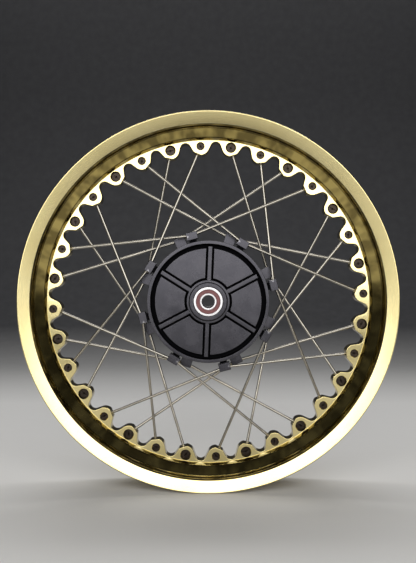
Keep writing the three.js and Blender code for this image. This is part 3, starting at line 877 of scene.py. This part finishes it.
def nipple_barrel():
    """A barrel nipple along +Z, centred, with a slot and a centre mark in each end."""
    profile = [(NIPPLE_RADIUS - 0.8, -NIPPLE_HALF), (NIPPLE_RADIUS - 0.2, -NIPPLE_HALF + 0.3),
               (NIPPLE_RADIUS, -NIPPLE_HALF + 0.9)]
    bm = round_bar(profile + [(radius, -z) for radius, z in reversed(profile)], 40)
    slots = []
    for end in (-1, 1):
        low, high = sorted((end * (NIPPLE_HALF - NIPPLE_SLOT_DEPTH), end * (NIPPLE_HALF + 1)))
        slots.append(soft_block(NIPPLE_SLOT, -8, 8, low, high, 0.15))
        dimple = [(0.2, NIPPLE_HALF - 2.0), (1.5, NIPPLE_HALF - 1.0), (1.8, NIPPLE_HALF + 1)]
        slots.append(round_bar([(r, end * z) for r, z in dimple][::end]))
    for slot in slots:
        bm = combined(bm, slot, "DIFFERENCE")
    return bm


def spokes_and_nipples(spokes, wire_material, nipple_material):
    wires = {}
    barrel = finished("nipple", nipple_barrel())
    lay = Matrix.Rotation(math.pi / 2, 4, "X")
    for number, spoke in enumerate(spokes):
        key = round(spoke.reach, 1)
        if key not in wires:
            wires[key] = finished("spoke_wire", spoke_wire(spoke.reach))
        piece(f"{spoke.name}_wire", wires[key], wire_material, "wheel", [spoke.name],
              metres(spoke.line()))
        spin = Matrix.Rotation(math.radians(NIPPLE_FIRST_TURN + NIPPLE_NEXT_TURN * number), 4, "Y")
        place = metres(Matrix.Translation(spoke.nipple) @ spin @ lay)
        piece(f"{spoke.name}_nipple", barrel, nipple_material, "wheel", [spoke.name], place)


# Hub

def hub_section():
    seat_end = BOSS_FACE - SEAT_DEPTH
    edge = MACHINED_EDGE
    return rounded([
        (SEAT_RADIUS - SEAT_SHOULDER, -seat_end, 0.4),
        (SEAT_RADIUS, -seat_end, 0),
        (SEAT_RADIUS, -BOSS_FACE, 0.5),
        (BOSS_FACE_RADIUS, -BOSS_FACE, 1.2),
        (BOSS_FACE_RADIUS + BOSS_CHAMFER, -HUB_HALF, 0.5),
        (BOSS_RADIUS, -HUB_HALF, 0.9),
        (BOSS_RADIUS, WEB_FRONT, 1.2),
        (RING_RADIUS - RING_WALL, WEB_FRONT, 1.2),
        (RING_RADIUS - RING_WALL, -HUB_HALF, edge),
        (RING_RADIUS, -HUB_HALF, edge),
        (RING_RADIUS, -HUB_HALF + RING_LENGTH, edge),
        (DRUM_RADIUS, -HUB_HALF + RING_LENGTH, 1),
        (DRUM_RADIUS, HUB_HALF, edge),
        (FLANGE_INNER_RADIUS, HUB_HALF, edge),
        (FLANGE_INNER_RADIUS, HUB_HALF - FLANGE_THICKNESS, edge),
        (DRUM_INNER_RADIUS, HUB_HALF - FLANGE_THICKNESS, 1.5),
        (DRUM_INNER_RADIUS, WEB_BACK, 2.5),
        (BOSS_RADIUS, WEB_BACK, 2.5),
        (BOSS_FACE_RADIUS, BOSS_FACE, 1),
        (SEAT_RADIUS, BOSS_FACE, 0.5),
        (SEAT_RADIUS, seat_end, 0),
        (SEAT_RADIUS - SEAT_SHOULDER, seat_end, 0.4),
    ])


def panel_outline():
    """One flat panel between two ribs, its middle at 12 o'clock, as (x, z) points."""
    half = math.radians(180 / RIB_COUNT)
    aside = RIB_HALF + PANEL_GROOVE
    inner = BOSS_RADIUS + PANEL_GROOVE
    points = []
    for radius, direction in ((PANEL_OUTER_RADIUS, 1), (inner, -1)):
        reach = half - math.asin(aside / radius)
        for step in range(PANEL_ARC_STEPS + 1):
            turn = direction * reach * (1 - 2 * step / PANEL_ARC_STEPS)
            points.append((radius * math.sin(turn), radius * math.cos(turn)))
    return points


def block_angles(spokes, side):
    """The angles of one side's blocks: each holds the heads of a leading and a trailing spoke."""
    angles = []
    for spoke in spokes:
        if spoke.side == side and spoke.lean > 0:
            middle = spoke.head_face - spoke.direction * (BLOCK_WIDTH / 2 - 0.2)
            angles.append(math.degrees(math.atan2(middle.x, middle.z)))
    return angles


def hub_blocks(bm, spokes):
    for side in (-1, 1):
        middle = side * BLOCK_PLANE
        angles = block_angles(spokes, side)
        bottom = BLOCK_OUTER_RADIUS - (FRONT_BLOCK_HEIGHT if side < 0 else REAR_BLOCK_HEIGHT)
        neck = soft_block(NECK_WIDTH, middle - NECK_LENGTH / 2, middle + NECK_LENGTH / 2,
                          DRUM_INNER_RADIUS + 2, bottom + 2, MACHINED_EDGE)
        bm = combined(bm, copies(neck, angles), "UNION")
        block = soft_block(BLOCK_WIDTH, middle - BLOCK_LENGTH / 2, middle + BLOCK_LENGTH / 2,
                           bottom, BLOCK_OUTER_RADIUS, 0.8)
        bm = combined(bm, copies(block, angles), "UNION")
    return bm


def spoke_seats(bm, spokes):
    """Each spoke's hole through its block, with a deeper seat for its head."""
    for lean in (-1, 1):
        chosen = [spoke for spoke in spokes if spoke.lean == lean]
        tools = []
        for spoke in chosen:
            seat = spoke.reach - HEAD_LENGTH
            front = spoke.reach - BLOCK_WIDTH + 0.2
            profile = [
                (SPOKE_HOLE_RADIUS + 1.5, front - 1.0),
                (SPOKE_HOLE_RADIUS, front + 0.5),
                (SPOKE_HOLE_RADIUS, seat - 0.2),
                (HEAD_RADIUS + 0.4, seat - 0.15),
                (HEAD_RADIUS + 0.4, spoke.reach - 0.3),
                (HEAD_RADIUS + 2.2, spoke.reach + 1.5),
            ]
            tools.append(moved(round_bar(profile), spoke.line()))
        bm = combined(bm, gathered(tools), "DIFFERENCE")
    return bm


def hub(spokes, material):
    bm = revolve(hub_section(), HUB_STEPS)
    rib_angles = [FIRST_RIB + index * 360 / RIB_COUNT for index in range(RIB_COUNT)]
    between = [angle + 180 / RIB_COUNT for angle in rib_angles]
    front_rib = soft_block(2 * RIB_HALF, PANEL_FACE, WEB_FRONT + 2, BOSS_FACE_RADIUS, DRUM_INNER_RADIUS, 0.5)
    bm = combined(bm, copies(front_rib, rib_angles), "UNION")
    panel = plate(panel_outline(), PANEL_FACE, WEB_FRONT + 2, 0.45)
    bm = combined(bm, copies(panel, between), "UNION")
    rear_rib = soft_block(REAR_RIB_WIDTH, WEB_BACK - 2, HUB_HALF - FLANGE_THICKNESS + 2, BOSS_FACE_RADIUS,
                          DRUM_INNER_RADIUS + 2, 1.0)
    bm = combined(bm, copies(rear_rib, rib_angles), "UNION")
    bm = hub_blocks(bm, spokes)
    bm = spoke_seats(bm, spokes)
    low = HUB_HALF - FLANGE_THICKNESS - 1
    bolt = [(DISC_BOLT_RADIUS + 0.1, low - 1), (DISC_BOLT_RADIUS, HUB_HALF - 0.7),
            (DISC_BOLT_RADIUS + 1.7, HUB_HALF + 1)]
    lay = Matrix.Translation((0, 0, DISC_BOLT_CIRCLE)) @ Matrix.Rotation(-math.pi / 2, 4, "X")
    bm = combined(bm, copies(moved(round_bar(bolt), lay), between), "DIFFERENCE")
    piece("hub_shell", finished("hub_shell", bm), material, "wheel", ["hub"])


# Bearings

def race(plain, shoulder, end, middle, groove_sign):
    """A bearing ring's section: a plain bore or rim, and a grooved shoulder with stepped ends."""
    groove_edge = math.sqrt(GROOVE_RADIUS ** 2 - (BALL_CIRCLE - shoulder) ** 2)
    widest = math.atan2(groove_edge, abs(BALL_CIRCLE - shoulder))
    step = BEARING_HALF - INNER_END_LENGTH
    side = [(end, BEARING_HALF, 0.3)]
    if end != shoulder:
        side += [(end, step, 0.2), (shoulder, step, 0.2)]
    groove = []
    for index in range(GROOVE_STEPS + 1):
        turn = widest * (1 - 2 * index / GROOVE_STEPS)
        groove.append((BALL_CIRCLE + groove_sign * GROOVE_RADIUS * math.cos(turn),
                       GROOVE_RADIUS * math.sin(turn), 0))
    opposite = [(radius, -y, fillet) for radius, y, fillet in reversed(side)]
    outline = [(plain, -BEARING_HALF, 0.9), (plain, BEARING_HALF, 0.9)] + side + groove + opposite
    return [Vector((p.x, p.y + middle)) for p in rounded(outline)]


def ball_set(middle):
    parts = []
    for index in range(BALL_COUNT):
        ball = bmesh.new()
        place = Matrix.Translation(around(index * 360 / BALL_COUNT, BALL_CIRCLE, middle))
        bmesh.ops.create_icosphere(ball, subdivisions=4, radius=BALL_RADIUS, matrix=place)
        parts.append(ball)
    return gathered(parts)


def ribbon_cage(middle):
    """Two pressed ribbons that bend round the balls and meet between them."""
    parts = []
    clear = BALL_RADIUS + CAGE_CLEARANCE
    for end in (-1, 1):
        bm = bmesh.new()
        first = None
        previous = None
        for step in range(CAGE_STEPS):
            angle = 360 * step / CAGE_STEPS
            nearest = round(angle * BALL_COUNT / 360) * 360 / BALL_COUNT
            aside = math.radians(abs(angle - nearest)) * BALL_CIRCLE
            height = math.sqrt(max(0, clear ** 2 - aside ** 2))
            low = middle + end * max(height, CAGE_HALF_SEAM)
            high = low + end * CAGE_SHEET
            section = [(BALL_CIRCLE - CAGE_HALF_WIDTH, low), (BALL_CIRCLE + CAGE_HALF_WIDTH, low),
                       (BALL_CIRCLE + CAGE_HALF_WIDTH, high), (BALL_CIRCLE - CAGE_HALF_WIDTH, high)]
            previous = ring_of(bm, lambda p: around(angle, p[0], p[1]), section, previous)
            first = first or previous
        bridge(bm, previous, first)
        bmesh.ops.recalc_face_normals(bm, faces=bm.faces)
        parts.append(bm)
    return gathered(parts)


def seal_section(middle, outwards):
    """A moulded seal: a thick edge held in the outer ring, a shallow dish, and a lip at the inner ring."""
    outline = [
        (11.35, 5.5, 0.2),
        (12.3, 5.5, 0.2),
        (12.6, 5.2, 0.2),
        (15.3, 5.2, 0.2),
        (15.6, 5.5, 0.2),
        (16.3, 5.5, 0.2),
        (16.3, 4.4, 0.2),
        (11.35, 4.4, 0.2),
    ]
    return [Vector((p.x, middle + outwards * p.y)) for p in rounded(outline)]


def bearing(end, side, steel, rubber):
    middle = side * BEARING_MIDDLE
    name = f"{end}_bearing"
    pieces = [
        ("inner_ring", revolve(race(INNER_BORE, INNER_SHOULDER, INNER_END, middle, -1), BEARING_STEPS),
         steel, "axle_core", "bearing_steel", "inner_race"),
        ("outer_ring", revolve(race(OUTER_RADIUS, OUTER_SHOULDER, OUTER_SHOULDER, middle, 1), BEARING_STEPS),
         steel, "wheel", "bearing_steel", "outer_race"),
        ("ball_set", ball_set(middle), steel, f"{end}_ball_cage", "bearing_steel", "balls"),
        ("ribbon_cage", ribbon_cage(middle), steel, f"{end}_ball_cage", "bearing_steel", "balls"),
        ("outside_seal_ring", revolve(seal_section(middle, side), BEARING_STEPS),
         rubber, "wheel", "seal_rubber", "outside_seal"),
        ("inside_seal_ring", revolve(seal_section(middle, -side), BEARING_STEPS),
         rubber, "wheel", "seal_rubber", "inside_seal"),
    ]
    for title, bm, material, body, slot, node in pieces:
        title = f"{name}_{title}"
        piece(title, finished(title, bm), material, body, [f"{name}_{node}"])


def spacer_tube(material):
    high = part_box("bearing_spacer_tube")[1]
    end = high.y / MM
    section = rounded([(INNER_BORE, -end, 0.5), (high.z / MM, -end, 0.5), (high.z / MM, end, 0.5),
                       (INNER_BORE, end, 0.5)])
    piece("spacer_tube", finished("spacer_tube", revolve(section, BEARING_STEPS)), material,
          "axle_core", ["bearing_spacer_tube"])


# Studio

def floor(material):
    """A pale floor that sweeps up into a wall behind the wheel."""
    level = cad_box[0].z
    start = WALL_PLACE - WALL_BEND
    profile = [(-FLOOR_HALF, level), (start, level)]
    for step in range(1, WALL_BEND_STEPS + 1):
        turn = math.pi / 2 * step / WALL_BEND_STEPS
        profile.append((start + WALL_BEND * math.sin(turn), level + WALL_BEND * (1 - math.cos(turn))))
    profile.append((WALL_PLACE, level + WALL_HEIGHT))
    bm = bmesh.new()
    sides = [[bm.verts.new((x, y, z)) for y, z in profile] for x in (-FLOOR_HALF, FLOOR_HALF)]
    for index in range(len(profile) - 1):
        face = bm.faces.new((sides[0][index], sides[1][index], sides[1][index + 1], sides[0][index + 1]))
        face.smooth = True
    data = bpy.data.meshes.new("floor")
    bm.to_mesh(data)
    bm.free()
    data.materials.append(material)
    thing = bpy.data.objects.new("floor", data)
    bpy.context.scene.collection.objects.link(thing)


def soft_light(name, place, target, size, power):
    lamp = bpy.data.lights.new(name, "AREA")
    lamp.shape = "RECTANGLE"
    lamp.size = size[0]
    lamp.size_y = size[1]
    lamp.energy = power
    thing = bpy.data.objects.new(name, lamp)
    thing.location = place
    thing.rotation_euler = (Vector(target) - Vector(place)).to_track_quat("-Z", "Y").to_euler()
    bpy.context.scene.collection.objects.link(thing)


def studio():
    """A key light and a weak fill in front, a strip over the top and a soft light behind."""
    soft_light("front_softbox", (0, -2.2, 0.98), (0, 0, 0.98), (3.0, 2.0), 54)
    soft_light("front_fill", (0, -2.4, 0.35), (0, 0, 0.35), (5.0, 1.2), 12)
    soft_light("top_strip", (0, 0.7, 1.9), (0, 0, 0), (2.6, 0.3), 16)
    soft_light("back_softbox", (0, 2.2, 2.0), (0, 0.2, 0), (2.8, 1.4), 24)
    world = bpy.data.worlds.new("studio")
    world.use_nodes = True
    background = world.node_tree.nodes["Background"]
    background.inputs["Color"].default_value = (0.85, 0.88, 0.95, 1)
    background.inputs["Strength"].default_value = 0.05
    bpy.context.scene.world = world
    settings = bpy.context.scene.view_settings
    settings.view_transform = "Standard"
    settings.look = "None"
    settings.exposure = 0.0


def camera():
    """One metre in front of the near lip, a little above the axle, looking straight across the floor."""
    lens = bpy.data.cameras.new("camera")
    lens.sensor_width = CAMERA_SENSOR
    lens.lens = CAMERA_LENS
    thing = bpy.data.objects.new("camera", lens)
    thing.location = (CAMERA_ASIDE, cad_box[0].y - CAMERA_DISTANCE, CAMERA_HEIGHT)
    thing.rotation_euler = (math.radians(90), 0, 0)
    bpy.context.scene.collection.objects.link(thing)
    bpy.context.scene.camera = thing


def build():
    names = [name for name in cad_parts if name.startswith("spoke_")]
    spokes = sorted((Spoke(name) for name in names), key=lambda spoke: spoke.angle)
    gold = gold_anodised()
    steel = ground_steel()
    rubber = seal_rubber()
    rim(spokes, gold)
    spokes_and_nipples(spokes, drawn_steel(), nipple_steel())
    hub(spokes, black_anodised())
    bearing("front", -1, steel, rubber)
    bearing("rear", 1, steel, rubber)
    spacer_tube(plain_aluminium())


build()
floor(floor_paint())
studio()
camera()
